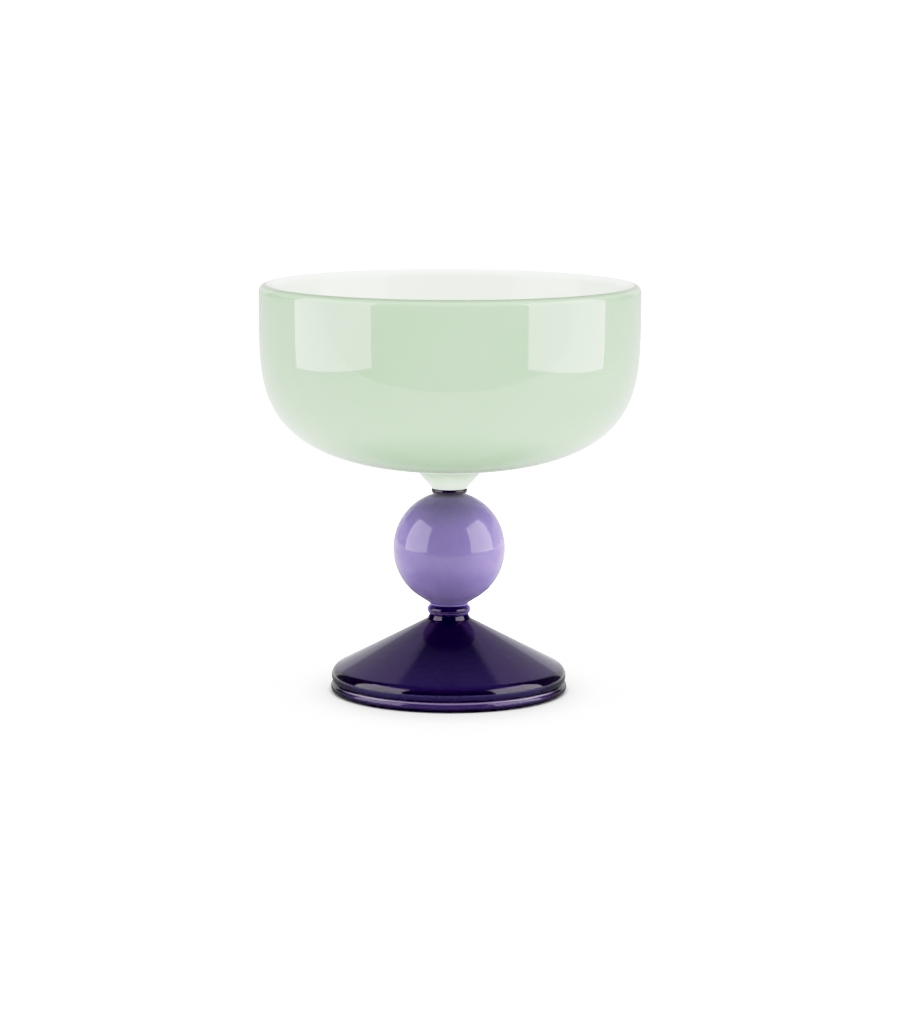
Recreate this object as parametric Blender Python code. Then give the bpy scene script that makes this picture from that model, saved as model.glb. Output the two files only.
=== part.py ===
"""Stemmed ice cream cup of coloured glass, empty, at its real size in metres with +Z up.

A wide round bowl with a drawn neck stands on a thin collar, a ball, a bead and a hollow cone foot. Each
piece is turned once round the Z axis from an outline of (radius, height) points, worked out below from
the driving sizes. The origin is the middle of the foot, on the table. Run it from Blender's text editor
or with blender --background --python part.py.
"""

from math import acos, asin, atan2, cos, hypot, pi, radians, sin, sqrt, tan

import bmesh
import bpy

# Bowl, with the neck drawn down from its underside
RIM_HEIGHT = 0.1187
BOWL_RADIUS = 0.0550
WALL = 0.0043
CURVE_TOP = 0.1145  # height at which the upright wall starts to turn in
UNDERSIDE_HEIGHT = 0.0651  # of the bowl's curve, where it would cross the axis
FLOOR_HEIGHT = 0.0694  # of the inside, at the axis
ACROSS_POWER = 2.42  # (r / radius) ** 2.42 + (drop / depth) ** 3.95 = 1 is the bowl's curve
DOWN_POWER = 3.95
NECK_RADIUS = 0.0049
NECK_SLOPE = radians(49.4)
NECK_FILLET = 0.0030

# Stem, by the heights at which one piece ends and the next begins
NECK_JOINT = 0.05895
BALL_TOP_JOINT = 0.05765
BALL_FOOT_JOINT = 0.02545
BEAD_JOINT = 0.02245
HALF_GAP = 0.00015  # each piece stops this far from its joint
COLLAR_RADIUS = 0.0050
COLLAR_EDGE = 0.0002
BALL_RADIUS = 0.0163
BALL_HALF_HEIGHT = 0.0166
BALL_HEIGHT = 0.04185
BALL_LAND = 0.00535  # radius of the short land that carries the ball
BALL_LAND_EASE = 0.0004  # how far outside its land the ball's curve stops
BEAD_HEIGHT = 0.02395
BEAD_RADIUS = 0.00615
BEAD_ROUND = 0.0014

# Foot, a hollow cone with a rounded shoulder over a rounded base ring
FOOT_NECK_RADIUS = 0.0054
FOOT_NECK_BASE_RADIUS = 0.0062
FOOT_NECK_FILLET = 0.0009
CONE_SLOPE = radians(27.7)
SHOULDER_RADIUS = 0.03415
SHOULDER_HEIGHT = 0.0046
SHOULDER_ROUND = 0.0031
RING_RADIUS = 0.03435
RING_ROUND = 0.00145
HOLLOW_RADIUS = 0.0304
HOLLOW_CORNER_HEIGHT = 0.0042
HOLLOW_CORNER_ROUND = 0.0020
HOLLOW_SLOPE = radians(25.0)
HOLLOW_DOME = 0.0100  # radius of the rounded tip of the hollow

# Sides of each turned piece, and steps along each curved stretch of its outline
WIDE_SEGMENTS = 64
STEM_SEGMENTS = 48
INSIDE_STEPS = 15
OUTSIDE_STEPS = 17
RIM_STEPS = 8
NECK_STEPS = 4
EDGE_STEPS = 2
BALL_STEPS = 16
BEAD_STEPS = 10
FOOT_STEPS = 7
FILLET_STEPS = 3

# Mesh clean-up: points this near are one point, and edges sharper than this stay crisp
MERGE_DISTANCE = 0.000002
SHARP_ANGLE = radians(40.0)

# Glass colours, as linear red, green and blue
MINT = (0.565, 0.716, 0.527)
LILAC = (0.262, 0.205, 0.450)
INDIGO = (0.016, 0.010, 0.040)
PURPLE = (0.020, 0.010, 0.070)


def arc(centre, radius, start, end, steps):
    """Points on a circle from one angle to another, both counted up from +X towards +Z."""
    middle_x, middle_z = centre
    turn = end - start
    angles = [start + turn * step / steps for step in range(steps + 1)]
    return [(middle_x + radius * cos(a), middle_z + radius * sin(a)) for a in angles]


def fillet(before, corner, after, radius, steps):
    """An arc of the given radius that takes the place of a corner between two straight lines."""
    back = atan2(before[1] - corner[1], before[0] - corner[0])
    ahead = atan2(after[1] - corner[1], after[0] - corner[0])
    opening = (ahead - back + pi) % (2 * pi) - pi
    middle = back + opening / 2
    reach = radius / abs(sin(opening / 2))
    centre = (corner[0] + reach * cos(middle), corner[1] + reach * sin(middle))
    half_turn = (pi - abs(opening)) / 2
    side = 1 if opening > 0 else -1
    start = middle + pi + side * half_turn
    end = middle + pi - side * half_turn
    return arc(centre, radius, start, end, steps)


def crossing(first_centre, first_radius, second_centre, second_radius):
    """Where two circles cross, on the outer side: the angle of that point seen from each centre."""
    across = second_centre[0] - first_centre[0]
    down = second_centre[1] - first_centre[1]
    apart = hypot(across, down)
    along = (apart**2 + first_radius**2 - second_radius**2) / (2 * apart)
    aside = sqrt(first_radius**2 - along**2)
    point = (
        first_centre[0] + (along * across - aside * down) / apart,
        first_centre[1] + (along * down + aside * across) / apart,
    )
    first = atan2(point[1] - first_centre[1], point[0] - first_centre[0])
    second = atan2(point[1] - second_centre[1], point[0] - second_centre[0])
    return first, second


def bowl_curve(radius, depth, steps, stop_radius=0.0):
    """The bowl's curve from its upright wall down to stop_radius, for its outside or its inside."""
    last = acos((stop_radius / radius) ** (ACROSS_POWER / 2))
    points = []
    for step in range(steps + 1):
        angle = last * step / steps
        across = radius * cos(angle) ** (2 / ACROSS_POWER) if angle < pi / 2 else 0.0
        drop = depth * sin(angle) ** (2 / DOWN_POWER)
        points.append((across, CURVE_TOP - drop))
    return points


def bowl_outline():
    """Up the inside from the floor's middle, over the round rim, down the outside and the neck."""
    inside = bowl_curve(BOWL_RADIUS - WALL, CURVE_TOP - FLOOR_HEIGHT, INSIDE_STEPS)
    lip = WALL / 2
    rim = arc((BOWL_RADIUS - lip, RIM_HEIGHT - lip), lip, pi, 0, RIM_STEPS)

    neck_end = NECK_JOINT + HALF_GAP
    neck_rise = UNDERSIDE_HEIGHT - neck_end
    corner_radius = NECK_RADIUS + neck_rise / tan(NECK_SLOPE)
    leave_radius = corner_radius + NECK_FILLET * tan(NECK_SLOPE / 2)
    outside = bowl_curve(BOWL_RADIUS, CURVE_TOP - UNDERSIDE_HEIGHT, OUTSIDE_STEPS, leave_radius)
    neck_start = (NECK_RADIUS, neck_end)
    throat_corner = (corner_radius, outside[-1][1])
    throat = fillet(outside[-1], throat_corner, neck_start, NECK_FILLET, NECK_STEPS)
    return inside[::-1] + rim + outside + throat[1:] + [neck_start, (0.0, neck_end)]


def collar_outline():
    """A short cylinder with eased edges."""
    top = NECK_JOINT - HALF_GAP
    bottom = BALL_TOP_JOINT + HALF_GAP
    middle = COLLAR_RADIUS - COLLAR_EDGE
    upper = arc((middle, top - COLLAR_EDGE), COLLAR_EDGE, pi / 2, 0, EDGE_STEPS)
    lower = arc((middle, bottom + COLLAR_EDGE), COLLAR_EDGE, 0, -pi / 2, EDGE_STEPS)
    return [(0.0, top)] + upper + lower + [(0.0, bottom)]


def ball_outline():
    """A near sphere, cut flat under the collar and set on a short land over the bead."""
    top = BALL_TOP_JOINT - HALF_GAP
    bottom = BALL_FOOT_JOINT + HALF_GAP
    stretch = BALL_HALF_HEIGHT / BALL_RADIUS
    land_angle = -acos((BALL_LAND + BALL_LAND_EASE) / BALL_RADIUS)
    top_angle = asin((top - BALL_HEIGHT) / BALL_HALF_HEIGHT)
    ball = arc((0.0, 0.0), BALL_RADIUS, top_angle, land_angle, BALL_STEPS)
    ball = [(across, BALL_HEIGHT + up * stretch) for across, up in ball]
    land_top = (ball[-1][1] + bottom) / 2
    return [(0.0, top)] + ball + [(BALL_LAND, land_top), (BALL_LAND, bottom), (0.0, bottom)]


def bead_outline():
    """A flat disc with a bulging round edge."""
    top = BALL_FOOT_JOINT - HALF_GAP
    bottom = BEAD_JOINT + HALF_GAP
    middle = (BEAD_RADIUS - BEAD_ROUND, BEAD_HEIGHT)
    start = asin((top - BEAD_HEIGHT) / BEAD_ROUND)
    end = asin((bottom - BEAD_HEIGHT) / BEAD_ROUND)
    return [(0.0, top)] + arc(middle, BEAD_ROUND, start, end, BEAD_STEPS) + [(0.0, bottom)]


def foot_outline():
    """Down the outside from the neck to the base ring, across its flat, and up into the hollow."""
    top = BEAD_JOINT - HALF_GAP
    shoulder_centre = (SHOULDER_RADIUS - SHOULDER_ROUND, SHOULDER_HEIGHT)
    ring_centre = (RING_RADIUS - RING_ROUND, RING_ROUND)
    groove = crossing(shoulder_centre, SHOULDER_ROUND, ring_centre, RING_ROUND)
    shoulder = arc(shoulder_centre, SHOULDER_ROUND, pi / 2 - CONE_SLOPE, groove[0], FOOT_STEPS)
    ring = arc(ring_centre, RING_ROUND, groove[1], -pi / 2, FOOT_STEPS)

    cone_end = shoulder[0]
    neck_foot_height = cone_end[1] + (cone_end[0] - FOOT_NECK_BASE_RADIUS) * tan(CONE_SLOPE)
    neck_top = (FOOT_NECK_RADIUS, top)
    neck_foot = (FOOT_NECK_BASE_RADIUS, neck_foot_height)
    neck = fillet(neck_top, neck_foot, cone_end, FOOT_NECK_FILLET, FILLET_STEPS)

    tip_height = HOLLOW_CORNER_HEIGHT + HOLLOW_RADIUS * tan(HOLLOW_SLOPE)
    dome_centre = (0.0, tip_height - HOLLOW_DOME / cos(HOLLOW_SLOPE))
    dome = arc(dome_centre, HOLLOW_DOME, pi / 2 - HOLLOW_SLOPE, pi / 2, FILLET_STEPS)
    hollow_edge = (HOLLOW_RADIUS, 0.0)
    hollow_corner = (HOLLOW_RADIUS, HOLLOW_CORNER_HEIGHT)
    hollow = fillet(hollow_edge, hollow_corner, dome[0], HOLLOW_CORNER_ROUND, FILLET_STEPS)
    outside = [(0.0, top), neck_top] + neck + shoulder + ring[1:]
    return outside + [hollow_edge] + hollow + dome


def glass(name, colour, roughness):
    """A smooth glass finish of one colour."""
    material = bpy.data.materials.new(name)
    material.use_nodes = True
    shader = material.node_tree.nodes["Principled BSDF"]
    shader.inputs["Base Color"].default_value = (*colour, 1.0)
    shader.inputs["Roughness"].default_value = roughness
    shader.inputs["Metallic"].default_value = 0.0
    material.diffuse_color = (*colour, 1.0)
    return material


def turned_piece(name, outline, segments, material):
    """Turn an outline that starts and ends on the Z axis into one closed, smooth piece."""
    shape = bmesh.new()
    points = [shape.verts.new((across, 0.0, up)) for across, up in outline]
    edges = [shape.edges.new(pair) for pair in zip(points, points[1:])]
    bmesh.ops.spin(
        shape,
        geom=points + edges,
        cent=(0.0, 0.0, 0.0),
        axis=(0.0, 0.0, 1.0),
        angle=2 * pi,
        steps=segments,
        use_merge=True,
    )
    bmesh.ops.remove_doubles(shape, verts=shape.verts, dist=MERGE_DISTANCE)
    bmesh.ops.recalc_face_normals(shape, faces=shape.faces)
    mesh = bpy.data.meshes.new(name)
    shape.to_mesh(mesh)
    shape.free()
    mesh.shade_smooth()
    mesh.set_sharp_from_angle(angle=SHARP_ANGLE)
    mesh.materials.append(material)
    piece = bpy.data.objects.new(name, mesh)
    bpy.context.scene.collection.objects.link(piece)
    return piece


def main():
    """Clear the scene and build the five pieces, from the bowl down to the foot."""
    for leftover in list(bpy.data.objects):
        bpy.data.objects.remove(leftover)

    mint = glass("mint_opal_glass", MINT, 0.06)
    lilac = glass("lilac_opal_glass", LILAC, 0.12)
    indigo = glass("indigo_glass", INDIGO, 0.04)
    purple = glass("purple_glass", PURPLE, 0.04)

    turned_piece("bowl", bowl_outline(), WIDE_SEGMENTS, mint)
    turned_piece("upper_collar", collar_outline(), STEM_SEGMENTS, indigo)
    turned_piece("ball", ball_outline(), STEM_SEGMENTS, lilac)
    turned_piece("bead", bead_outline(), STEM_SEGMENTS, purple)
    turned_piece("foot", foot_outline(), WIDE_SEGMENTS, purple)


main()
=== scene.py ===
"""Looks of a stemmed ice cream cup of coloured glass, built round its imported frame.

The bowl is cased glass, mint outside and white inside. It stands on an indigo collar, a ball of lilac opal
glass, and a bead and a hollow foot of clear, very dark purple glass. Each piece is an outline drawn with
mesh operators and turned round the Z axis, in metres, where the frame has it. The camera, the white table
and the two soft boxes are set as in the photograph.
"""

import logging
from dataclasses import dataclass
from enum import Enum
from math import acos, asin, atan2, cos, exp, pi, radians, sin, sqrt, tan

import bmesh
import bpy
from mathutils import Matrix, Vector


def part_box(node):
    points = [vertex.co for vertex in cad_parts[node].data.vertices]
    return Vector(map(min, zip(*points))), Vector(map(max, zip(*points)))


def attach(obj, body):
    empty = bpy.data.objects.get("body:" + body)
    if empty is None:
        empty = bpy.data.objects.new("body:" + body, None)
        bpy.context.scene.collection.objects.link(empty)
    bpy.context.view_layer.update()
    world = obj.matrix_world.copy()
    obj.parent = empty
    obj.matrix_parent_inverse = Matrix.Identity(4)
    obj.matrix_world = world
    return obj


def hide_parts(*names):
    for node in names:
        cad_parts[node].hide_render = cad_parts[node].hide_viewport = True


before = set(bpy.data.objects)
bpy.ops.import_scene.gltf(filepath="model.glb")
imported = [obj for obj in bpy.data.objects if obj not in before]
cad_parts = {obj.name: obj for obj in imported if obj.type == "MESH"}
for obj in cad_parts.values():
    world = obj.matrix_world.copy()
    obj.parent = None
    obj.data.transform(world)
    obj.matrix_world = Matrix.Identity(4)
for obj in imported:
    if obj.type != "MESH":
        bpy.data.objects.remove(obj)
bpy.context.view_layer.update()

LOG = logging.getLogger("ice_cream_cup")

Colour = tuple[float, float, float]
Point = tuple[float, float]
Object = bpy.types.Object
Socket = bpy.types.NodeSocket

# Places of the Mix node's colour sockets, whose names are shared by its other kinds
MIX_SHARE, MIX_FIRST, MIX_SECOND, MIX_RESULT = 0, 6, 7, 2
# Corners this close become one, and an edge that bends less than this looks smooth
MERGE_DISTANCE = 0.000002
SMOOTH_ANGLE = radians(35.0)
# Where noise turns from a glass's own colour to its clouds
CLOUD_LOW, CLOUD_HIGH = 0.3, 0.7
BLACK: Colour = (0.0, 0.0, 0.0)
PLAIN_WHITE: Colour = (1.0, 1.0, 1.0)


class Tint(Enum):
    """Glass colours, and the painted light and shade on the glass, as linear red, green and blue."""

    MINT = (0.490, 0.655, 0.458)
    # painted shade on the lip's crest
    MINT_PAINTED_LIP_SHADE = (0.280, 0.345, 0.245)
    # pale glass in the clouds; in the neck, painted light as a paler colour and a glow
    MINT_PALE_AND_PAINTED_GLOW = (0.870, 1.000, 0.800)
    WHITE = (0.920, 0.968, 0.890)
    LILAC = (0.206, 0.158, 0.367)
    LILAC_CLOUD = (0.228, 0.178, 0.393)
    # painted shade at the ball's top, under the bowl
    LILAC_PAINTED_SHADE = (0.150, 0.125, 0.240)
    # painted shade at the ball's foot
    LILAC_PAINTED_SHADE_BELOW = (0.165, 0.119, 0.430)
    INDIGO = (0.012, 0.006, 0.030)
    PURPLE = (0.115, 0.070, 0.385)
    PURPLE_TOP = (0.050, 0.030, 0.170)
    # painted light on the cone's sides
    PURPLE_PAINTED_SIDE_LIGHT = (0.180, 0.085, 0.450)
    # deep purple of thick glass, with painted shade and a painted dark reflection
    PURPLE_DEEP_AND_PAINTED_SHADE = (0.048, 0.034, 0.095)
    # painted reflection of the table on the shoulder's wall
    PURPLE_PAINTED_TABLE_REFLECTION = (0.120, 0.085, 0.370)
    PURPLE_NECK = (0.022, 0.008, 0.075)
    # painted rim light on the foot's neck
    PURPLE_NECK_PAINTED_RIM_LIGHT = (0.060, 0.035, 0.140)
    # painted light through the ring
    PURPLE_RING_PAINTED_LIGHT = (0.245, 0.140, 0.620)
    # painted rim light on the bead
    PURPLE_PAINTED_RIM_LIGHT = (0.300, 0.160, 0.700)
    # painted line of light in the groove, paler towards the sides
    PURPLE_PAINTED_LINE_LIGHT = (0.460, 0.360, 0.610)
    PURPLE_PAINTED_LINE_LIGHT_SIDE = (0.920, 0.790, 1.000)
    # painted highlight round the bead's foot
    PURPLE_PAINTED_SEAM_HIGHLIGHT = (0.130, 0.090, 0.280)
    PURPLE_GLEAM = (0.780, 0.700, 0.820)
    PURPLE_INSIDE = (0.200, 0.070, 0.470)


class Side(Enum):
    """Which side of the cup a light stands on, as seen from the camera."""

    LEFT = -1
    RIGHT = 1


Value = float | Colour | Tint | Socket


def joint_height(upper: str, lower: str) -> float:
    """Find where two stacked pieces meet, in the middle of the gap that the frame keeps.

    Args:
        upper: The upper node's name.
        lower: The lower node's name.

    Returns:
        The height of the joint in metres.
    """
    return (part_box(upper)[0].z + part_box(lower)[1].z) / 2


def finished(shape: bmesh.types.BMesh, name: str) -> Object:
    """Make an object of a shape that is ready.

    Args:
        shape: The shape, which is freed.
        name: Name of the object and its mesh.

    Returns:
        The object, in the scene, with its place in its mesh.
    """
    mesh = bpy.data.meshes.new(name)
    shape.to_mesh(mesh)
    shape.free()
    piece = bpy.data.objects.new(name, mesh)
    bpy.context.scene.collection.objects.link(piece)
    return piece


class Outline:
    """Half the outline of a turned piece, drawn with mesh operators in the XZ plane."""

    def __init__(self, across: float, up: float) -> None:
        """Start at one point, given as distance from the Z axis and height."""
        self.mesh = bmesh.new()
        self.tip = self.mesh.verts.new((across, 0.0, up))

    def line(self, across: float, up: float) -> None:
        """Run straight to a point.

        Args:
            across: Distance of the point from the Z axis.
            up: Height of the point.
        """
        made = bmesh.ops.extrude_vert_indiv(self.mesh, verts=[self.tip])
        self.tip = made["verts"][0]
        self.tip.co = (across, 0.0, up)

    def lines(self, points: list[Point]) -> None:
        """Run straight through points, one after another."""
        for point in points:
            self.line(*point)

    def arc(self, centre: Point, turn: float, steps: int) -> None:
        """Swing the tip round a centre.

        Args:
            centre: The arc's centre, as distance from the Z axis and height.
            turn: Angle in radians, positive from +X towards +Z.
            steps: Straight edges that stand for the arc.
        """
        made = bmesh.ops.spin(
            self.mesh,
            geom=[self.tip],
            cent=(centre[0], 0.0, centre[1]),
            axis=(0.0, -1.0, 0.0),
            angle=turn,
            steps=steps,
        )
        self.tip = next(item for item in made["geom_last"] if isinstance(item, bmesh.types.BMVert))

    def corner(self, corner: Point, after: Point, radius: float, steps: int) -> None:
        """Run towards a corner and round it off, so that the outline leaves towards the next point.

        Args:
            corner: The sharp corner that the arc takes the place of.
            after: The point that the outline heads for after the corner.
            radius: Radius of the arc.
            steps: Straight edges that stand for the arc.
        """
        peak = Vector(corner)
        back = (Vector((self.tip.co.x, self.tip.co.z)) - peak).normalized()
        ahead = (Vector(after) - peak).normalized()
        half = back.angle(ahead) / 2
        start = peak + back * radius / tan(half)
        centre = peak + (back + ahead).normalized() * radius / sin(half)
        side = 1 if back.cross(ahead) < 0 else -1
        self.line(start.x, start.y)
        self.arc((centre.x, centre.y), side * (pi - 2 * half), steps)

    def stretch(self, factor: float, height: float) -> None:
        """Make the outline so far a number of times as tall, about one height."""
        origin = Matrix.Translation((0.0, 0.0, -height))
        bmesh.ops.scale(self.mesh, vec=(1.0, 1.0, factor), space=origin, verts=self.mesh.verts)

    def turn(self, name: str, segments: int) -> Object:
        """Turn the outline once round the Z axis.

        Args:
            name: Name of the new piece.
            segments: Sides of the turned piece.

        Returns:
            The closed, smooth piece, with its place in its mesh.
        """
        bmesh.ops.spin(
            self.mesh,
            geom=self.mesh.verts[:] + self.mesh.edges[:],
            cent=(0.0, 0.0, 0.0),
            axis=(0.0, 0.0, 1.0),
            angle=2 * pi,
            steps=segments,
            use_merge=True,
        )
        bmesh.ops.remove_doubles(self.mesh, verts=self.mesh.verts, dist=MERGE_DISTANCE)
        bmesh.ops.recalc_face_normals(self.mesh, faces=self.mesh.faces)
        piece = finished(self.mesh, name)
        piece.data.shade_smooth()
        piece.data.set_sharp_from_angle(angle=SMOOTH_ANGLE)
        return piece


class Graph:
    """A node tree, with the few steps that the glasses, the table and the sky share."""

    def __init__(self, tree: bpy.types.NodeTree) -> None:
        """Take over the node tree of a material or a world."""
        self.nodes = tree.nodes
        self.links = tree.links

    def feed(self, value: Value, socket: Socket) -> None:
        """Give a socket its value.

        Args:
            value: A number, a tint or a colour without its alpha, or another node's output.
            socket: The socket that takes it.
        """
        if isinstance(value, Tint):
            value = value.value
        if isinstance(value, tuple):
            socket.default_value = (*value, 1.0)
        elif isinstance(value, float):
            socket.default_value = value
        else:
            self.links.new(value, socket)

    def ramp(self, value: Value, low: float, high: float, first: Value, last: Value) -> Socket:
        """Turn one range of a value into another, smoothly.

        Args:
            value: The value to read.
            low: Where the ramp starts.
            high: Where the ramp ends.
            first: The result at and below its start.
            last: The result at and above its end.

        Returns:
            The ramped value.
        """
        node = self.nodes.new("ShaderNodeMapRange")
        node.interpolation_type = "SMOOTHSTEP"
        names = ("Value", "From Min", "From Max", "To Min", "To Max")
        for name, given in zip(names, (value, low, high, first, last)):
            self.feed(given, node.inputs[name])
        return node.outputs["Result"]

    def rise(self, value: Value, low: float, high: float) -> Socket:
        """Give a share that rises from 0 to 1 over a range of the value."""
        return self.ramp(value, low, high, 0.0, 1.0)

    def fall(self, value: Value, low: float, high: float) -> Socket:
        """Give a share that falls from 1 to 0 over a range of the value."""
        return self.ramp(value, low, high, 1.0, 0.0)

    def choose(self, share: Value, first: Value, last: Value) -> Socket:
        """Go from the first number to the last one as a share goes from 0 to 1."""
        return self.ramp(share, 0.0, 1.0, first, last)

    def both(self, first: Value, second: Value) -> Socket:
        """Multiply two shares, so that both have to be there."""
        return self.sum("MULTIPLY", first, second)

    def mix(self, share: Value, first: Value, second: Value) -> Socket:
        """Blend two colours.

        Args:
            share: How much of the second colour shows.
            first: The first colour.
            second: The second colour.

        Returns:
            The blended colour.
        """
        node = self.nodes.new("ShaderNodeMix")
        node.data_type = "RGBA"
        for place, given in zip((MIX_SHARE, MIX_FIRST, MIX_SECOND), (share, first, second)):
            self.feed(given, node.inputs[place])
        return node.outputs[MIX_RESULT]

    def sum(self, operation: str, first: Value, second: Value) -> Socket:
        """Reckon with two numbers.

        Args:
            operation: What the Math node does with them.
            first: The first number.
            second: The second number.

        Returns:
            The result.
        """
        node = self.nodes.new("ShaderNodeMath")
        node.operation = operation
        self.feed(first, node.inputs[0])
        self.feed(second, node.inputs[1])
        return node.outputs["Value"]

    def rays(self, kind: str) -> Socket:
        """Tell whether a ray is of one kind, such as "Is Camera Ray"."""
        return self.nodes.new("ShaderNodeLightPath").outputs[kind]


class Shading(Graph):
    """A material's nodes, with the patterns that the glasses share."""

    def __init__(self, name: str) -> None:
        """Start a material with its own shader.

        Args:
            name: The material's name.
        """
        self.material = bpy.data.materials.new(name)
        self.material.use_nodes = True
        super().__init__(self.material.node_tree)
        self.shader = self.nodes["Principled BSDF"]
        self.output = self.nodes["Material Output"]
        self.place = self.nodes.new("ShaderNodeTexCoord").outputs["Object"]

    def set(self, socket: str, value: Value) -> None:
        """Set or link one of the shader's own sockets, which is given by its name."""
        self.feed(value, self.shader.inputs[socket])

    def noise(self, length: float, detail: float = 2.0) -> Socket:
        """Add soft noise over the piece.

        Args:
            length: About how far apart its light and dark patches lie, in metres.
            detail: How many finer layers it has.

        Returns:
            The noise, from 0 to 1.
        """
        node = self.nodes.new("ShaderNodeTexNoise")
        node.inputs["Scale"].default_value = 1.0 / length
        node.inputs["Detail"].default_value = detail
        self.links.new(self.place, node.inputs["Vector"])
        return node.outputs["Fac"]

    def height(self) -> Socket:
        """Read the height on the piece.

        Returns:
            The height in metres.
        """
        node = self.nodes.new("ShaderNodeSeparateXYZ")
        self.links.new(self.place, node.inputs["Vector"])
        return node.outputs["Z"]

    def slant(self) -> Socket:
        """Give how slantwise the surface is seen, from 0 face on to 1 edge on."""
        return self.nodes.new("ShaderNodeLayerWeight").outputs["Facing"]

    def waves(self, length: float, height: float) -> None:
        """Give the surface the faint waves that hot glass keeps.

        Args:
            length: About how far apart the waves lie.
            height: How high they are.
        """
        node = self.nodes.new("ShaderNodeBump")
        node.inputs["Strength"].default_value = 1.0
        node.inputs["Distance"].default_value = height
        self.links.new(self.noise(length, detail=1.0), node.inputs["Height"])
        self.set("Normal", node.outputs["Normal"])


@dataclass(frozen=True)
class GlassFinish:
    """What every glass of the cup has: a fire polish that varies a little, and faint waves."""

    name: str
    polish: float = 0.03  # roughness where the glass is smoothest
    polish_spread: float = 0.03
    gloss: float = 0.5  # specular level
    bending: float = 1.5  # how many times slower light is in the glass
    smudge_length: float = 0.012
    smudge_detail: float = 4.0
    smudge_low: float = 0.35
    smudge_high: float = 0.75
    wave_length: float = 0.022
    wave_height: float = 0.00003

    def start(self) -> Shading:
        """Start the finish's material with its polish and waves.

        Returns:
            The material's nodes.
        """
        shading = Shading(self.name)
        shading.set("IOR", self.bending)
        shading.set("Specular IOR Level", self.gloss)
        smudges = shading.noise(self.smudge_length, self.smudge_detail)
        dullest = self.polish + self.polish_spread
        rough = shading.ramp(smudges, self.smudge_low, self.smudge_high, self.polish, dullest)
        shading.set("Roughness", rough)
        shading.waves(self.wave_length, self.wave_height)
        return shading


@dataclass(frozen=True)
class CasedGlass(GlassFinish):
    """Mint glass over white, with painted shade along the lip's crest and painted light in the drawn neck,
    which is paler and glows.
    """

    body: Tint = Tint.MINT
    # painted shade along the lip's crest
    edge: Tint = Tint.MINT_PAINTED_LIP_SHADE
    # pale glass of the clouds, also painted light in the neck as paler colour and glow
    thin: Tint = Tint.MINT_PALE_AND_PAINTED_GLOW
    cloud_length: float = 0.03
    cloud_share: float = 0.06  # how much of the pale glass shows in the clouds
    lip_height: float = 0.0
    lip_depth: float = 0.0010
    neck_top: float = 0.0
    neck_end: float = 0.0
    neck_painted_glow: float = 0.20  # strength of the painted glow in the neck

    def material(self) -> bpy.types.Material:
        """Make the material, whose colour follows the height on the bowl.

        Returns:
            The mint glass.
        """
        shading = self.start()
        clouds = shading.ramp(
            shading.noise(self.cloud_length), CLOUD_LOW, CLOUD_HIGH, 0.0, self.cloud_share
        )
        body = shading.mix(clouds, self.body, self.thin)
        height = shading.height()
        # painted shade on the lip's crest
        lip_shade_share = shading.rise(height, self.lip_height - self.lip_depth, self.lip_height)
        lipped = shading.mix(lip_shade_share, body, self.edge)
        # painted light in the neck: paler colour and glow
        down_neck = shading.fall(height, self.neck_end, self.neck_top)
        shading.set("Base Color", shading.mix(down_neck, lipped, self.thin))
        shading.set("Emission Color", self.thin)
        shading.set("Emission Strength", shading.choose(down_neck, 0.0, self.neck_painted_glow))
        return shading.material


@dataclass(frozen=True)
class OpalGlass(GlassFinish):
    """Milky glass of one colour, with a second one clouding it, and painted shade at the given heights."""

    body: Tint = Tint.WHITE
    cloud: Tint = Tint.WHITE
    cloud_length: float = 0.012
    depth: float = 0.0  # how far light wanders in it, in metres
    wander: Colour = (1.0, 0.8, 1.2)  # share of that for red, green and blue light
    glow: float = 0.0  # share of the light that does so
    # painted shade at the top, where the bowl keeps light off
    painted_shade: Tint = Tint.LILAC_PAINTED_SHADE
    # painted shade at the foot, over the bead
    under: Tint = Tint.LILAC_PAINTED_SHADE_BELOW
    painted_shade_low: float = 1.0  # height where the painted shade at the top starts
    painted_shade_high: float = 2.0
    painted_shade_foot: float = -1.0  # height under which the lower end takes its painted shade
    painted_collar_shade_low: float = 1.0  # height where the painted shade under the collar starts
    painted_collar_shade_high: float = 2.0
    # colour of the painted shade under the collar
    painted_collar_shade: Tint = Tint.INDIGO
    painted_collar_shade_share: float = 0.8
    painted_shade_below_blur: float = 0.0006  # how far it turns from its own colour to the painted shade below

    def material(self) -> bpy.types.Material:
        """Make the clouded material, with its painted shade.

        Returns:
            The milky glass.
        """
        shading = self.start()
        clouds = shading.rise(shading.noise(self.cloud_length), CLOUD_LOW, CLOUD_HIGH)
        colour = shading.mix(clouds, self.body, self.cloud)
        height = shading.height()
        # painted shade at the top, under the bowl
        painted_shade_share = shading.rise(height, self.painted_shade_low, self.painted_shade_high)
        colour = shading.mix(painted_shade_share, colour, self.painted_shade)
        # painted shade under the collar
        painted_collar_shade = shading.ramp(height, self.painted_collar_shade_low, self.painted_collar_shade_high, 0.0, self.painted_collar_shade_share)
        colour = shading.mix(painted_collar_shade, colour, self.painted_collar_shade)
        # painted shade at the foot
        below = shading.fall(height, self.painted_shade_foot, self.painted_shade_foot + self.painted_shade_below_blur)
        shading.set("Base Color", shading.mix(below, colour, self.under))
        shading.set("Subsurface Weight", self.glow)
        shading.set("Subsurface Scale", self.depth)
        shading.shader.inputs["Subsurface Radius"].default_value = self.wander
        return shading.material


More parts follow.
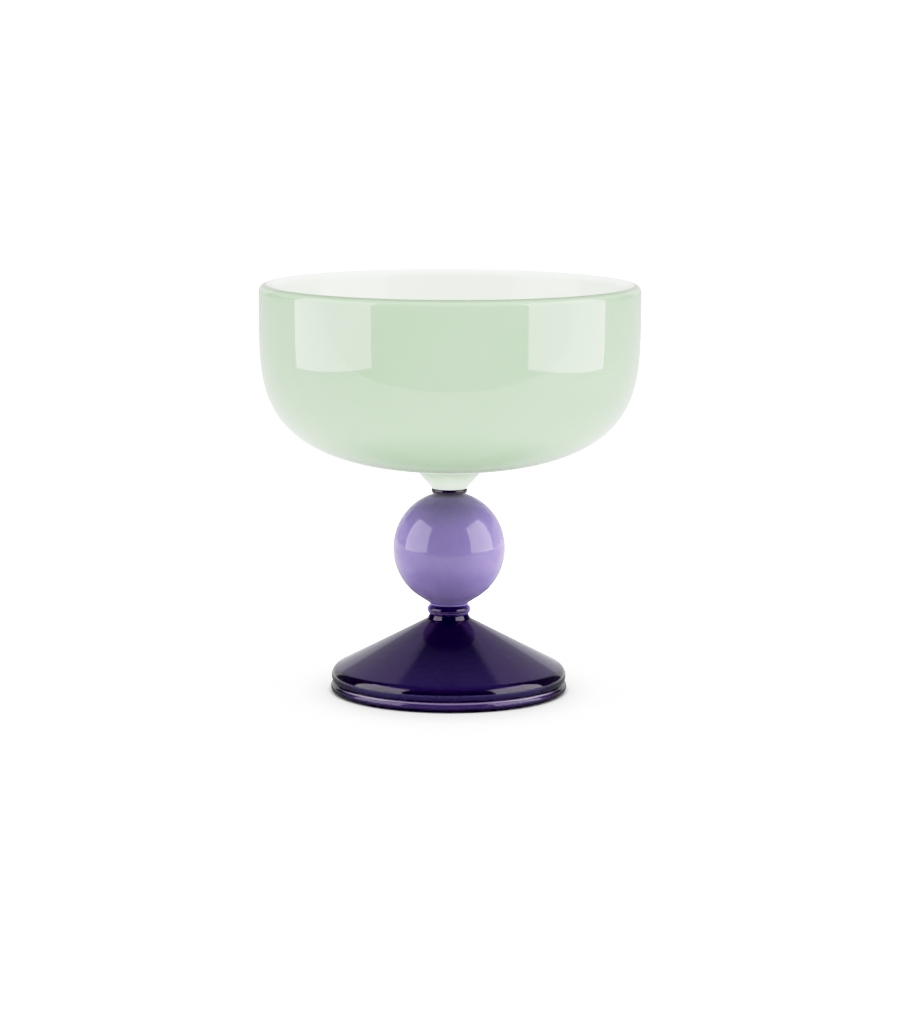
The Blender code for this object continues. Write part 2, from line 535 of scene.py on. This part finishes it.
@dataclass(frozen=True)
class ClearGlass(GlassFinish):
    """Dark purple glass, seen through where thin, with painted light and shade, and a painted line of light
    in the groove.
    """

    body: Tint = Tint.PURPLE
    top: Tint = Tint.PURPLE_TOP
    # painted light on the cone's sides
    side: Tint = Tint.PURPLE_PAINTED_SIDE_LIGHT
    # painted shade and dark reflection
    deep: Tint = Tint.PURPLE_DEEP_AND_PAINTED_SHADE
    # painted reflection of the table on the shoulder's wall
    thin: Tint = Tint.PURPLE_PAINTED_TABLE_REFLECTION
    neck: Tint = Tint.PURPLE_NECK
    # painted light through the ring
    ring: Tint = Tint.PURPLE_RING_PAINTED_LIGHT
    # painted rim light on the neck and the bead
    light: Tint = Tint.PURPLE_NECK_PAINTED_RIM_LIGHT
    # painted line of light in the groove
    line: Tint = Tint.PURPLE_PAINTED_LINE_LIGHT
    line_side: Tint = Tint.PURPLE_PAINTED_LINE_LIGHT_SIDE
    gleam: Tint = Tint.PURPLE_GLEAM
    kept: Tint = Tint.PURPLE_INSIDE
    clearness: float = 0.80
    neck_clearness: float = 0.60
    line_clearness: float = 0.35
    strength: float = 900.0  # how much light a metre of it takes
    line_height: float = 0.00255  # heights on the foot, in metres
    line_width: float = 0.00035
    ring_top: float = 0.0027
    ring_painted_shade_top: float = 0.0006  # where the painted shade on the ring, over the table, gives way to its painted light
    ring_light: float = 0.0017
    painted_reflection_low: float = 0.0036  # painted reflection of the table on the shoulder's wall, from its foot to its top
    painted_reflection_high: float = 0.0049
    thick_low: float = 0.0054  # the thick glass where shoulder and cone meet; under it, painted shade darkens the glass
    thick_high: float = 0.0072
    painted_arc_low: float = 0.0068  # the painted dark reflection over the shoulder's sides
    painted_arc_high: float = 0.0075
    body_low: float = 0.0085
    body_high: float = 0.0170
    neck_low: float = 0.0195
    neck_high: float = 0.0212
    turn_start: float = 0.35  # how slantwise the shoulder and ring are seen where their painted light turns dark
    turn_end: float = 0.65
    painted_side_start: float = 0.376  # the same where painted light on the cone's sides starts
    painted_side_end: float = 0.43
    painted_side_rise: float = 0.030  # how much later it does so at its top
    painted_arc_start: float = 0.27  # the same where the painted dark arc starts
    painted_arc_end: float = 0.36
    painted_line_start: float = 0.24  # the same where the painted light line in the groove turns paler
    painted_line_end: float = 0.32
    line_fade: float = 0.46  # the same where that line starts to fade
    line_gone: float = 0.64
    painted_rim_start: float = 0.35  # the same where painted rim light starts on the neck and the bead
    painted_rim_end: float = 0.85

    def material(self) -> bpy.types.Material:
        """Make the material, whose colour follows the height and how slantwise it is seen, with painted
        light and shade.

        Returns:
            The clear glass.
        """
        shading = self.start()
        height = shading.height()
        slant = shading.slant()
        upwards = shading.rise(height, self.body_low, self.body_high)
        # painted light on the cone's sides, growing as it is seen more slantwise
        turned = shading.sum("SUBTRACT", slant, shading.both(upwards, self.painted_side_rise))
        sideways = shading.rise(turned, self.painted_side_start, self.painted_side_end)
        front = shading.mix(upwards, self.body, self.top)
        cone = shading.mix(sideways, front, self.side)
        # painted shade below the thick glass, and a painted dark reflection over the shoulder's sides
        thick = shading.fall(height, self.thick_low, self.thick_high)
        at_side = shading.rise(slant, self.painted_arc_start, self.painted_arc_end)
        arc = shading.ramp(height, self.painted_arc_low, self.painted_arc_high, at_side, 0.0)
        colour = shading.mix(shading.sum("MAXIMUM", thick, arc), cone, self.deep)
        # painted reflection of the table on the shoulder's wall
        over = shading.rise(height, self.painted_reflection_low - self.line_width, self.painted_reflection_low)
        under = shading.fall(height, self.painted_reflection_high, self.painted_reflection_high + self.line_width)
        ahead = shading.fall(slant, self.turn_start, self.turn_end)
        shoulder = shading.both(shading.both(over, under), ahead)
        colour = shading.mix(shoulder, colour, self.thin)
        # painted light through the ring, with painted shade under it
        lit_ring = shading.rise(height, self.ring_painted_shade_top, self.ring_light)
        ring = shading.fall(height, self.ring_top, self.ring_top + self.line_width)
        ring_share = shading.both(shading.both(lit_ring, ring), ahead)
        colour = shading.mix(ring_share, colour, self.ring)
        # painted rim light on the neck and the bead
        edge = shading.rise(slant, self.painted_rim_start, self.painted_rim_end)
        neck = shading.mix(edge, self.neck, self.light)
        upper = shading.rise(height, self.neck_low, self.neck_high)
        colour = shading.mix(upper, colour, neck)
        # painted line of light in the groove
        above_line = shading.rise(height, self.line_height - self.line_width, self.line_height)
        below_line = shading.fall(height, self.line_height, self.line_height + self.line_width)
        kept = shading.fall(slant, self.line_fade, self.line_gone)
        line = shading.both(shading.both(above_line, below_line), kept)
        beside = shading.rise(slant, self.painted_line_start, self.painted_line_end)
        lines = shading.mix(beside, self.line, self.line_side)
        shading.set("Base Color", shading.mix(line, colour, lines))
        shading.set("Specular Tint", self.gleam)
        clear = shading.choose(upper, self.clearness, self.neck_clearness)
        shading.set("Transmission Weight", shading.choose(line, clear, self.line_clearness))
        inside = shading.nodes.new("ShaderNodeVolumeAbsorption")
        shading.feed(self.kept, inside.inputs["Color"])
        shading.feed(self.strength, inside.inputs["Density"])
        shading.links.new(inside.outputs["Volume"], shading.output.inputs["Volume"])
        return shading.material


@dataclass(frozen=True)
class DarkGlass(GlassFinish):
    """Glass so deep that it looks black, with a little colour left in it."""

    body: Tint = Tint.INDIGO
    cloud: Tint = Tint.PURPLE
    cloud_length: float = 0.004
    cloud_high: float = 0.8
    cloud_share: float = 0.04

    def material(self) -> bpy.types.Material:
        """Make the near-black material.

        Returns:
            The near-black glass.
        """
        shading = self.start()
        noise = shading.noise(self.cloud_length)
        clouds = shading.ramp(noise, CLOUD_LOW, self.cloud_high, 0.0, self.cloud_share)
        shading.set("Base Color", shading.mix(clouds, self.body, self.cloud))
        return shading.material


def place(
    piece: Object, material: bpy.types.Material, node: str, slot: str | None, mirrored: bool
) -> None:
    """Dress a piece, fix it to the cup, and let it stand for its node.

    Args:
        piece: The finished piece.
        material: Its material.
        node: The CAD node that it replaces.
        slot: The record's material slot, or None for a piece that has none of its own; not used.
        mirrored: Whether the other pieces mirror it, as the photo's foot mirrors mostly the room.
    """
    piece.data.materials.append(material)
    piece.visible_glossy = mirrored
    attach(piece, "root")
    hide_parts(node)
    LOG.info("%s: %d faces, stands for %s", piece.name, len(piece.data.polygons), node)


@dataclass
class Bowl:
    """The cased bowl with its rounded lip and its drawn neck."""

    radius: float
    rim_height: float
    neck_end: float
    wall: float = 0.0043
    casing: float = 0.0016  # how thick the mint glass is over the white
    lip_tuck: float = 0.0004  # how far the white glass steps in under the lip
    curve_top: float = 0.1145
    underside: float = 0.0651
    floor: float = 0.0694
    across_power: float = 2.42
    down_power: float = 3.95
    neck_radius: float = 0.0050
    neck_slope: float = radians(47.2)
    neck_fillet: float = 0.0030
    curve_steps: int = 56
    lip_steps: int = 12
    segments: int = 192

    def curve(self, radius: float, depth: float, stop: float = 0.0) -> list[Point]:
        """Work out the bowl's curve from its upright wall downwards.

        Args:
            radius: Radius of the upright wall.
            depth: Drop from the top of the curve to its lowest point on the axis.
            stop: Radius at which the curve ends.

        Returns:
            Points on the curve, from the wall inwards.
        """
        last = acos((stop / radius) ** (self.across_power / 2))
        points = []
        for step in range(self.curve_steps + 1):
            angle = last * step / self.curve_steps
            across = radius * max(cos(angle), 0.0) ** (2 / self.across_power)
            drop = depth * sin(angle) ** (2 / self.down_power)
            points.append((across, self.curve_top - drop))
        return points

    def seam(self) -> list[Point]:
        """Work out the hidden line between both glasses.

        Returns:
            Its points, from under the lip to the axis.
        """
        hidden = self.radius - self.casing
        depth = self.curve_top - self.underside - self.casing
        start = (hidden - self.lip_tuck, self.rim_height - self.wall / 2)
        return [start, *self.curve(hidden, depth)[:-1], (0.0, self.curve_top - depth)]

    def lining(self) -> Object:
        """Build the white glass: the whole inside, up to the crest of the lip.

        Returns:
            The white piece.
        """
        lip = self.wall / 2
        inner = self.radius - self.wall
        outline = Outline(0.0, self.floor)
        outline.lines(self.curve(inner, self.curve_top - self.floor)[-2::-1])
        outline.line(inner, self.rim_height - lip)
        outline.arc((inner + lip, self.rim_height - lip), -pi / 2, self.lip_steps)
        outline.lines(self.seam())
        return outline.turn("bowl_lining", self.segments)

    def mint_casing(self) -> Object:
        """Build the mint glass: from the crest of the lip down the outside, with the drawn neck.

        Returns:
            The mint piece.
        """
        lip = self.wall / 2
        first, *others = reversed(self.seam())
        outline = Outline(*first)
        outline.lines(others)
        outline.line(self.radius - lip, self.rim_height)
        outline.arc((self.radius - lip, self.rim_height - lip), -pi / 2, self.lip_steps)

        rise = self.underside - self.neck_end
        corner_radius = self.neck_radius + rise / tan(self.neck_slope)
        leave = corner_radius + self.neck_fillet * tan(self.neck_slope / 2)
        outside = self.curve(self.radius, self.curve_top - self.underside, leave)
        outline.lines(outside[:-1])
        throat = (corner_radius, outside[-1][1])
        outline.corner(throat, (self.neck_radius, self.neck_end), self.neck_fillet, self.lip_steps)
        outline.line(self.neck_radius, self.neck_end)
        outline.line(0.0, self.neck_end)
        return outline.turn("bowl_mint_casing", self.segments)

    def build(self) -> None:
        """Build and dress both glasses of the bowl."""
        mint = CasedGlass(
            "mint_cased_glass",
            lip_height=self.rim_height,
            neck_top=self.underside + self.neck_fillet / 2,
            neck_end=self.neck_end,
        )
        white = OpalGlass("white_opal_glass", gloss=0.25)
        place(self.mint_casing(), mint.material(), "bowl", "mint_glass", mirrored=False)
        place(self.lining(), white.material(), "bowl", None, mirrored=False)


@dataclass
class Collar:
    """The thin dark disc between the neck and the ball."""

    top: float
    bottom: float
    radius: float = 0.00525
    edge: float = 0.0003
    edge_steps: int = 4
    segments: int = 128

    def build(self) -> None:
        """Turn and dress the collar."""
        outline = Outline(0.0, self.top)
        outline.corner((self.radius, self.top), (self.radius, self.bottom), self.edge, self.edge_steps)
        outline.corner((self.radius, self.bottom), (0.0, self.bottom), self.edge, self.edge_steps)
        outline.line(0.0, self.bottom)
        glass = DarkGlass("indigo_dark_glass", gloss=0.4, wave_length=0.004, wave_height=0.00001).material()
        collar = outline.turn("dark_collar", self.segments)
        place(collar, glass, "upper_collar", "indigo_glass", mirrored=False)


@dataclass
class Ball:
    """The milky ball, flat under the collar and on a short land over the bead."""

    top: float
    bottom: float
    radius: float = 0.0163
    half_height: float = 0.0166
    height: float = 0.04185
    land: float = 0.0056
    cone_from: float = radians(57.2)  # how far down the round turns into a cone
    cone_steepness: float = 0.645  # fall of that cone for each step inwards
    painted_shade_from: float = 0.40  # how far up its upper half the painted shade under the bowl starts
    painted_collar_shade_depth: float = 0.0011  # how far down from the collar its painted shade reaches
    steps: int = 72
    segments: int = 160

    def build(self) -> Object:
        """Turn and dress the ball.

        Returns:
            The ball.
        """
        factor = self.half_height / self.radius
        start = asin((self.top - self.height) / self.half_height)
        end = -self.cone_from
        outline = Outline(self.radius * cos(start), self.height + self.radius * sin(start))
        outline.arc((0.0, self.height), end - start, self.steps)
        outline.stretch(factor, self.height)
        land_top = outline.tip.co.z - (outline.tip.co.x - self.land) * self.cone_steepness
        outline.line(self.land, land_top)
        outline.line(self.land, self.bottom)
        outline.line(0.0, self.bottom)
        first = outline.mesh.verts.new((0.0, 0.0, self.top))
        outline.mesh.verts.ensure_lookup_table()
        outline.mesh.edges.new((first, outline.mesh.verts[0]))
        glass = OpalGlass(
            "lilac_opal_glass",
            body=Tint.LILAC,
            cloud=Tint.LILAC_CLOUD,
            glow=0.4,
            depth=0.004,
            gloss=0.38,
            wave_height=0.00002,
            # painted shade at the top, under the collar and at the foot
            painted_shade_low=self.height + self.half_height * self.painted_shade_from,
            painted_shade_high=self.top,
            painted_shade_foot=land_top,
            painted_collar_shade_low=self.top - self.painted_collar_shade_depth,
            painted_collar_shade_high=self.top,
        )
        ball = outline.turn("opal_ball", self.segments)
        place(ball, glass.material(), "ball", "lilac_glass", mirrored=False)
        return ball


@dataclass
class Bead:
    """The flat bead with its bulging edge."""

    top: float
    bottom: float
    height: float = 0.0239
    radius: float = 0.00634
    edge: float = 0.0015
    seam: float = 0.0008  # how far over its foot a painted highlight runs round it
    steps: int = 16
    segments: int = 128

    def build(self) -> Object:
        """Turn and dress the bead.

        Returns:
            The bead.
        """
        middle = self.radius - self.edge
        outline = Outline(0.0, self.top)
        outline.line(middle, self.top)
        outline.line(middle, self.height + self.edge)
        outline.arc((middle, self.height), -pi, self.steps)
        outline.line(middle, self.bottom)
        outline.line(0.0, self.bottom)
        glass = ClearGlass(
            "purple_bead_glass",
            polish=0.0,
            polish_spread=0.02,
            strength=100.0,
            light=Tint.PURPLE_PAINTED_RIM_LIGHT,
            painted_rim_start=0.29,
            # painted highlight round the bead's foot
            line=Tint.PURPLE_PAINTED_SEAM_HIGHLIGHT,
            line_side=Tint.PURPLE_PAINTED_SEAM_HIGHLIGHT,
            line_height=self.bottom + self.seam,
        )
        bead = outline.turn("dark_bead", self.segments)
        place(bead, glass.material(), "bead", "purple_glass", mirrored=True)
        return bead


@dataclass
class Foot:
    """The hollow cone with its rounded shoulder over a rounded base ring."""

    top: float
    neck_radius: float = 0.0057
    neck_base_radius: float = 0.0064
    neck_fillet: float = 0.0009
    slope: float = radians(27.9)
    shoulder_radius: float = 0.03415
    shoulder_height: float = 0.0046
    shoulder_round: float = 0.0031
    ring_radius: float = 0.03435
    ring_round: float = 0.00145
    hollow_radius: float = 0.0304
    hollow_corner: float = 0.0042
    hollow_round: float = 0.0020
    hollow_slope: float = radians(25.0)
    hollow_dome: float = 0.0100
    steps: int = 20
    segments: int = 192

    def groove(self) -> tuple[float, float]:
        """Find where the shoulder's round meets the ring's.

        Returns:
            The angle of that point seen from the shoulder's centre, and from the ring's.
        """
        shoulder = Vector((self.shoulder_radius - self.shoulder_round, self.shoulder_height))
        ring = Vector((self.ring_radius - self.ring_round, self.ring_round))
        apart = (ring - shoulder).length
        along = (apart**2 + self.shoulder_round**2 - self.ring_round**2) / (2 * apart)
        aside = sqrt(self.shoulder_round**2 - along**2)
        towards = (ring - shoulder) / apart
        point = shoulder + towards * along + Vector((-towards.y, towards.x)) * aside
        seen = [point - centre for centre in (shoulder, ring)]
        return atan2(seen[0].y, seen[0].x), atan2(seen[1].y, seen[1].x)

    def build(self) -> None:
        """Turn and dress the foot."""
        shoulder = (self.shoulder_radius - self.shoulder_round, self.shoulder_height)
        ring = (self.ring_radius - self.ring_round, self.ring_round)
        on_shoulder, on_ring = self.groove()
        leave = pi / 2 - self.slope
        cone_end = (
            shoulder[0] + self.shoulder_round * cos(leave),
            shoulder[1] + self.shoulder_round * sin(leave),
        )
        neck_base = cone_end[1] + (cone_end[0] - self.neck_base_radius) * tan(self.slope)

        outline = Outline(0.0, self.top)
        outline.line(self.neck_radius, self.top)
        outline.corner((self.neck_base_radius, neck_base), cone_end, self.neck_fillet, self.steps)
        outline.line(*cone_end)
        outline.arc(shoulder, on_shoulder - leave, self.steps)
        outline.arc(ring, -pi / 2 - on_ring, self.steps)
        outline.line(self.hollow_radius, 0.0)

        tip = self.hollow_corner + self.hollow_radius * tan(self.hollow_slope)
        dome = (0.0, tip - self.hollow_dome / cos(self.hollow_slope))
        dome_start = (
            self.hollow_dome * sin(self.hollow_slope),
            dome[1] + self.hollow_dome * cos(self.hollow_slope),
        )
        outline.corner((self.hollow_radius, self.hollow_corner), dome_start, self.hollow_round, self.steps)
        outline.line(*dome_start)
        outline.arc(dome, self.hollow_slope, self.steps)
        glass = ClearGlass("purple_clear_glass", polish=0.0, polish_spread=0.02)
        foot = outline.turn("hollow_foot", self.segments)
        place(foot, glass.material(), "foot", "purple_glass", mirrored=True)


@dataclass(frozen=True)
class LightPair:
    """Two tall lights beside the cup, one on each side, that face its axis."""

    name: str
    left: float  # radiance of each
    right: float
    azimuth: float  # from the camera's direction
    width: float
    bottom: float
    top: float
    matt: bool = False  # whether matt surfaces show them, and not mirrors
    distance: float = 0.42

    def build(self, gathering: bpy.types.Collection | None = None) -> None:
        """Set up both lights.

        Args:
            gathering: The pieces that they light, or None for all of them.
        """
        aim = Vector((0.0, 0.0, (self.top + self.bottom) / 2))
        size = (self.width, self.top - self.bottom)
        for side, radiance in zip(Side, (self.left, self.right)):
            across = side.value * self.distance * sin(self.azimuth)
            place_at = Vector((across, -self.distance * cos(self.azimuth), aim.z))
            name = f"{self.name}_{side.name.lower()}"
            panel = panel_light(name, place_at, aim, size, radiance, self.matt)
            if gathering is not None:
                panel.light_linking.receiver_collection = gathering


def panel_light(
    name: str, place_at: Vector, aim: Vector, size: Point, radiance: float, matt: bool
) -> Object:
    """Add a flat rectangular light that only one kind of surface shows.

    Args:
        name: The light's name.
        place_at: Where its middle stands.
        aim: The point that it faces.
        size: Its width and height.
        radiance: How bright its face is, in the render's own linear light.
        matt: Whether it lights matt surfaces, and not mirrors and glass.

    Returns:
        The light.
    """
    lamp = bpy.data.lights.new(name, "AREA")
    lamp.shape = "RECTANGLE"
    lamp.size, lamp.size_y = size
    lamp.energy = radiance * pi * size[0] * size[1]
    panel = bpy.data.objects.new(name, lamp)
    panel.location = place_at
    panel.rotation_euler = (aim - place_at).to_track_quat("-Z", "Y").to_euler()
    panel.visible_camera = False
    panel.visible_diffuse = matt
    panel.visible_glossy = not matt
    panel.visible_transmission = not matt
    bpy.context.scene.collection.objects.link(panel)
    LOG.info("%s: radiance %.2f", name, radiance)
    return panel


@dataclass(frozen=True)
class PhotoTone:
    """The photograph's own tone curve: deep blacks, true middle tones and softly rolled-off whites."""

    black: float = 0.012  # light that the photo shows as black
    knee: float = 0.45  # where the roll-off starts
    reach: float = 4.0  # light that the curve ends at
    steps: int = 12
    all_colours: int = 3  # place of the curve that all three colours share

    def apply(self) -> None:
        """Set the scene's view to the curve."""
        view = bpy.context.scene.view_settings
        view.view_transform = "Standard"
        view.use_curve_mapping = True
        mapping = view.curve_mapping
        mapping.use_clip = False
        mapping.clip_max_x = self.reach
        mapping.extend = "EXTRAPOLATED"
        mapping.black_level = (self.black,) * 3
        points = mapping.curves[self.all_colours].points
        points[0].location = (0.0, 0.0)
        points[-1].location = (self.reach, 1.0)
        room = 1.0 - self.knee
        for step in range(self.steps):
            light = self.knee + (self.reach - self.knee) * (step / self.steps) ** 2
            points.new(light, 1.0 - room * exp((self.knee - light) / room))
        mapping.update()


@dataclass
class Studio:
    """The white table and background, and the light from all round."""

    dome_side: float = 1.36  # radiance of the soft light near the horizon
    dome_top: float = 0.70
    dome_start: float = 0.12  # sine of the height where the dome starts to dim
    dome_turn: float = 0.75  # sine of the height where the dome is fully dim
    dome_lean: float = 0.15  # how much brighter than that it is on the right, and dimmer on the left
    room_dark: float = 0.10  # radiance of the room that the glass mirrors
    room_low: float = 0.92  # the same behind the cup, in three bands upwards
    room_middle: float = 0.54
    room_high: float = 0.20
    low_top: float = radians(21.0)
    middle_top: float = radians(58.0)
    high_top: float = radians(70.0)
    band_blur: float = radians(1.5)
    band_spread: float = 0.75  # how far the bands reach sideways, for each step back
    band_edge: float = 0.04  # how softly they end there
    seen_through: float = 1.2  # radiance of the room through clear glass
    soft_boxes: LightPair = LightPair(
        "soft_box", left=4.5, right=5.0, azimuth=radians(72.5), width=0.442, bottom=0.012, top=0.47
    )
    side_lights: LightPair = LightPair(
        "side_light", left=4.2, right=6.6, azimuth=radians(97.0), width=0.44, bottom=0.01, top=0.3, matt=True
    )
    side_mirrors: LightPair = LightPair(
        "side_mirror", left=0.5, right=0.9, azimuth=radians(121.0), width=0.34, bottom=0.0, top=0.18
    )
    top_light: float = 6.0
    top_light_at: tuple[float, float, float] = (0.0, -0.01, 1.3)
    top_light_size: Point = (0.9, 0.9)
    white: float = 4.0
    table_front: float = 0.27
    table_reach: float = 3.0
    table_drop: float = 0.0001  # how far it lies under the foot
    table_albedo: float = 0.90
    table_roughness: float = 0.6
    table_gloss: float = 0.2
    table_dark: float = 0.12  # how far behind the cup the painted shade on the mirrored table is darkest
    table_stretch: Point = (1.6, 0.7)  # how fast it turns bright again sideways and backwards
    table_near: float = 0.0  # from here to there it turns from its dim share to full
    table_far: float = 0.17
    table_dim: float = 0.25
    table_full: float = 1.09
    table_close: float = 0.35  # share of the mirrored table right beside the foot, as painted shade
    close_start: float = 0.037
    close_end: float = 0.075
    contact: float = 0.0340  # distance from the axis where the foot's own shadow ends
    contact_blur: float = 0.0018
    contact_back: float = 0.0006  # how far the shadow lies back under the foot
    wash_low: float = 0.45  # how much the table is washed out close to the foot, which leaves a painted soft shadow there
    wash_start: float = 0.036
    wash_end: float = 0.085
    wash_across: float = 1.20  # how much faster that happens to the sides than to the front
    flag_radius: float = 0.0124  # the dark disc, a painted dark reflection that the foot mirrors in place of the ball's underside
    flag_height: float = 0.0300
    flag_light: float = 0.15
    flag_segments: int = 64

    def table(self) -> None:
        """Lay the white table under the foot, with its front edge short of the camera."""
        sheet = bmesh.new()
        reach = self.table_reach
        middle = (reach * 2 - self.table_front) / 2
        move = Matrix.Translation((0.0, middle, -self.table_drop))
        size = Matrix.Diagonal((reach, middle + self.table_front, 1.0, 1.0))
        bmesh.ops.create_grid(sheet, x_segments=1, y_segments=1, size=1.0, matrix=move @ size)
        table = finished(sheet, "table")
        shading = Shading("white_table")
        evenly = (1.0, 1.0)
        shading.set("Roughness", self.table_roughness)
        shading.set("Specular IOR Level", self.table_gloss)
        shading.set("Emission Color", PLAIN_WHITE)
        # painted shade: mirrors see the table darker near the cup
        behind = self.distance(shading, self.table_stretch, self.table_dark)
        mirrored = shading.ramp(behind, self.table_near, self.table_far, self.table_dim, self.table_full)
        around = self.distance(shading, evenly, 0.0)
        close = shading.ramp(around, self.close_start, self.close_end, self.table_close, 1.0)
        share = shading.choose(shading.rays("Is Glossy Ray"), 1.0, shading.both(mirrored, close))
        shading.set("Base Color", shading.both(share, self.table_albedo))
        # painted soft shadow round the foot, in the table's glow for the camera
        near = self.distance(shading, evenly, self.contact_back)
        touch = shading.rise(near, self.contact, self.contact + self.contact_blur)
        away = self.distance(shading, (self.wash_across, 1.0), 0.0)
        far = shading.ramp(away, self.wash_start, self.wash_end, self.wash_low, self.white)
        seen = shading.both(shading.both(touch, far), shading.rays("Is Camera Ray"))
        shading.set("Emission Strength", seen)
        table.data.materials.append(shading.material)

    def flag(self) -> None:
        """Hang the dark disc in the ball, a painted dark reflection for mirrors alone, as the ball itself is
        hidden from them.
        """
        sheet = bmesh.new()
        move = Matrix.Translation((0.0, 0.0, self.flag_height))
        bmesh.ops.create_circle(
            sheet, cap_ends=True, segments=self.flag_segments, radius=self.flag_radius, matrix=move
        )
        flag = finished(sheet, "dark_flag")
        flag.visible_camera = False
        flag.visible_diffuse = False
        flag.visible_transmission = False
        flag.visible_volume_scatter = False
        flag.visible_shadow = False
        # painted dark reflection: only mirrors see this disc, which glows faintly
        shading = Shading("black_flag")
        shading.set("Base Color", BLACK)
        shading.set("Roughness", 1.0)
        shading.set("Specular IOR Level", 0.0)
        shading.set("Emission Color", PLAIN_WHITE)
        shading.set("Emission Strength", self.flag_light)
        flag.data.materials.append(shading.material)

    def distance(self, shading: Shading, count: Point, back: float) -> Socket:
        """Measure how far a place on the table lies from a point on it.

        Args:
            shading: The table's material.
            count: How many times as long a step sideways and a step backwards count.
            back: How far behind the cup's axis the point lies.

        Returns:
            The distance in metres.
        """
        place_at = shading.place
        for operation, amount in (("SUBTRACT", (0.0, back, 0.0)), ("MULTIPLY", (*count, 1.0))):
            step = shading.nodes.new("ShaderNodeVectorMath")
            step.operation = operation
            step.inputs[1].default_value = amount
            shading.links.new(place_at, step.inputs[0])
            place_at = step.outputs["Vector"]
        length = shading.nodes.new("ShaderNodeVectorMath")
        length.operation = "LENGTH"
        shading.links.new(place_at, length.inputs[0])
        return length.outputs["Value"]

    def sky(self) -> None:
        """Make the background white for the camera, softly bright for matt light, and dim for mirrors."""
        world = bpy.data.worlds.new("white_background")
        bpy.context.scene.world = world
        world.use_nodes = True
        world.cycles.sampling_method = "NONE"
        sky = Graph(world.node_tree)
        axes = sky.nodes.new("ShaderNodeSeparateXYZ")
        sky.links.new(sky.nodes.new("ShaderNodeTexCoord").outputs["Generated"], axes.inputs["Vector"])
        right, back, up = axes.outputs

        behind = self.room_low
        tops = (self.low_top, self.middle_top, self.high_top)
        for top, above in zip(tops, (self.room_middle, self.room_high, self.room_dark)):
            behind = sky.ramp(up, sin(top - self.band_blur), sin(top + self.band_blur), behind, above)
        sideways = sky.sum("ABSOLUTE", right, 0.0)
        reach = sky.sum("SUBTRACT", sky.both(back, self.band_spread), sideways)
        room = sky.ramp(reach, -self.band_edge, self.band_edge, self.room_dark, behind)

        dome = sky.ramp(up, self.dome_start, self.dome_turn, self.dome_side, self.dome_top)
        lean = sky.ramp(right, -1.0, 1.0, 1.0 - self.dome_lean, 1.0 + self.dome_lean)
        clear = sky.choose(sky.rays("Is Transmission Ray"), room, self.seen_through)
        matt = sky.choose(sky.rays("Is Diffuse Ray"), clear, sky.both(dome, lean))
        bright = sky.choose(sky.rays("Is Camera Ray"), matt, self.white)
        background = sky.nodes["Background"]
        sky.feed(PLAIN_WHITE, background.inputs["Color"])
        sky.feed(bright, background.inputs["Strength"])

    def build(self, gathering: list[Object]) -> None:
        """Set up the table, the lights, the background and the photo's tones.

        Args:
            gathering: The pieces that gather the light from beside.
        """
        self.table()
        self.flag()
        self.sky()
        self.soft_boxes.build()
        lit = bpy.data.collections.new("lit_from_beside")
        for piece in gathering:
            lit.objects.link(piece)
        self.side_lights.build(lit)
        self.side_mirrors.build(lit)
        above = Vector(self.top_light_at)
        panel_light("top_light", above, Vector(), self.top_light_size, self.top_light, matt=True)
        PhotoTone().apply()
        LOG.info("studio: white table, two soft boxes, white background")


@dataclass(frozen=True)
class PhotoCamera:
    """The photograph's own camera, found by fitting the cup's outline."""

    back: float = 0.9878
    aside: float = -0.00007
    up: float = 0.2021
    pitch: float = radians(8.62)
    lean: float = radians(0.20)  # between the cup's own lean and its rings'
    focal_pixels: float = 3446.0
    picture_height: float = 1024.0
    sensor: float = 36.0
    nearest: float = 0.01
    farthest: float = 50.0

    def build(self) -> None:
        """Add the camera and make it the scene's."""
        lens = bpy.data.cameras.new("camera")
        lens.sensor_width = self.sensor
        lens.lens = self.focal_pixels * self.sensor / self.picture_height
        lens.clip_start, lens.clip_end = self.nearest, self.farthest
        camera = bpy.data.objects.new("camera", lens)
        turned = Matrix.Rotation(pi / 2 - self.pitch, 4, "X") @ Matrix.Rotation(self.lean, 4, "Z")
        camera.matrix_world = Matrix.Translation((self.aside, -self.back, self.up)) @ turned
        bpy.context.scene.collection.objects.link(camera)
        bpy.context.scene.camera = camera
        LOG.info("camera: lens %.1f mm", lens.lens)


def main() -> None:
    """Build the cup from the bowl down, then the studio and the camera."""
    logging.basicConfig(level=logging.INFO, format="%(name)s: %(message)s")
    seam = 0.00001  # half the gap that keeps two touching pieces apart
    lift = 0.00048  # how much higher the photo has the collar than the frame's gaps leave it
    neck_joint = joint_height("bowl", "upper_collar") + lift
    ball_top = joint_height("upper_collar", "ball") + lift
    ball_foot = joint_height("ball", "bead")
    bead_joint = joint_height("bead", "foot")
    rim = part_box("bowl")[1]

    Bowl(radius=rim.x, rim_height=rim.z, neck_end=neck_joint + seam).build()
    Collar(top=neck_joint - seam, bottom=ball_top + seam).build()
    ball = Ball(top=ball_top - seam, bottom=ball_foot + seam).build()
    bead = Bead(top=ball_foot - seam, bottom=bead_joint + seam).build()
    Foot(top=bead_joint - seam).build()
    Studio().build([ball, bead])
    PhotoCamera().build()


if __name__ == "__main__":
    main()
